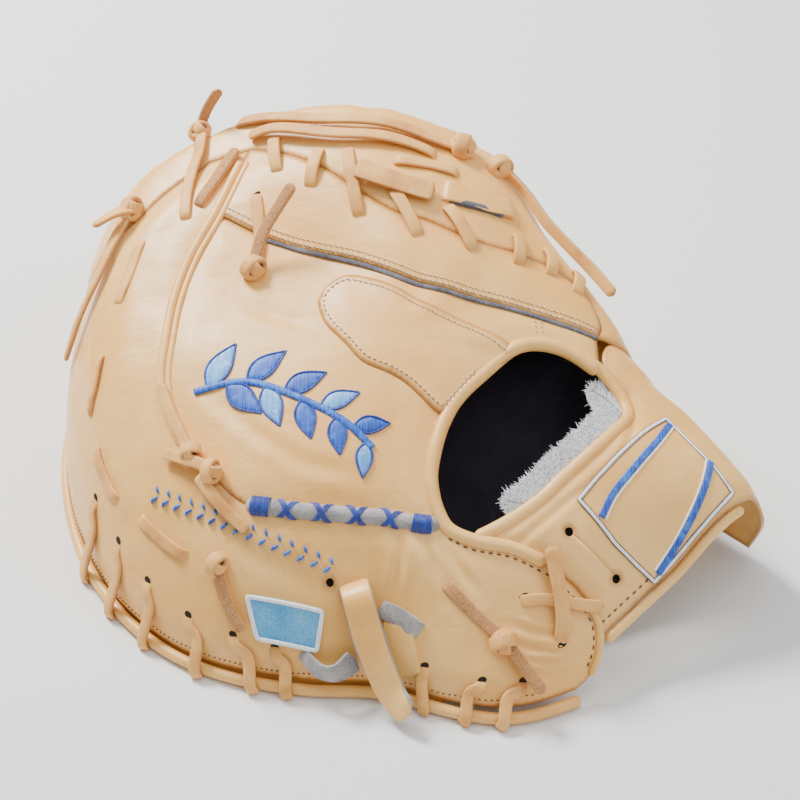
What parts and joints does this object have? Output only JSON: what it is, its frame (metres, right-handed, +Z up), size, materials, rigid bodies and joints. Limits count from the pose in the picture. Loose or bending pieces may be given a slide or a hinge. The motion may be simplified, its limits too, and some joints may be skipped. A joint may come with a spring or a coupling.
{
  "type": "first base mitt",
  "caption": "Leather first base mitt for the right hand, lying palm down, with a deep round pocket, laced rim, hand hole, wrist strap and free lace ends.",
  "frame": {"origin": "on the surface that the mitt lies on, under the middle of its box", "axes": "+Z up, away from the surface and out of the mitt's back; +X towards the wrist strap; +Y towards the finger side"},
  "size_m": [0.329, 0.2906, 0.1513],
  "materials": {
    "glove_leather": "smooth waxed camel leather, fine grain",
    "lace_leather": "rawhide lace, smooth outside and suede cut side",
    "wool_felt": "blue-grey wool felt, with blue thread windings on the crotch bar",
    "fleece": "white deep-pile fleece",
    "lining": "black napped lining",
    "label_cloth": null,
    "patch_cloth": null
  },
  "bodies": {
    "root": {"palm_shell": "glove_leather", "palm_far_side": "glove_leather", "thumb_back": "glove_leather", "finger_back": "glove_leather", "finger_back_upper": "glove_leather", "finger_pad": "glove_leather", "wrist_strap": "glove_leather", "strap_edge_roll": "glove_leather", "hole_binding": "glove_leather", "crease_piping": "glove_leather", "heel_piping": "glove_leather", "rim_roll_near": "glove_leather", "rim_roll_far": "glove_leather", "ridge_band": "glove_leather", "ridge_tab": "glove_leather", "near_loop_1": "lace_leather", "near_loop_2": "lace_leather", "near_loop_3": "lace_leather", "near_loop_4": "lace_leather", "near_loop_5": "lace_leather", "near_loop_6": "lace_leather", "near_loop_7": "lace_leather", "near_loop_8": "lace_leather", "near_loop_9": "lace_leather", "far_loop_1": "lace_leather", "far_loop_2": "lace_leather", "far_loop_3": "lace_leather", "far_loop_4": "lace_leather", "far_loop_5": "lace_leather", "far_loop_6": "lace_leather", "far_loop_7": "lace_leather", "far_loop_8": "lace_leather", "ridge_lace_upper": "lace_leather", "ridge_lace_lower": "lace_leather", "ridge_flat_end": "lace_leather", "tip_lace": "lace_leather", "tip_suede_end": "lace_leather", "web_lace": "lace_leather", "web_slot_lace": "lace_leather", "ridge_free_end": "lace_leather", "crease_lace": "lace_leather", "standing_lace": "lace_leather", "slot_lace_1": "lace_leather", "slot_lace_2": "lace_leather", "slot_lace_3": "lace_leather", "thumb_lace": "lace_leather", "heel_lace": "lace_leather", "cross_lace_under": "lace_leather", "cross_lace_over": "lace_leather", "thumb_strap": "lace_leather", "thumb_strap_run": "lace_leather", "crotch_bar": "wool_felt", "thumb_felt_fold": "wool_felt", "strap_fleece": "fleece", "hand_lining": "lining", "strap_label": "label_cloth", "thumb_patch": "patch_cloth"}
  },
  "joints": []
}
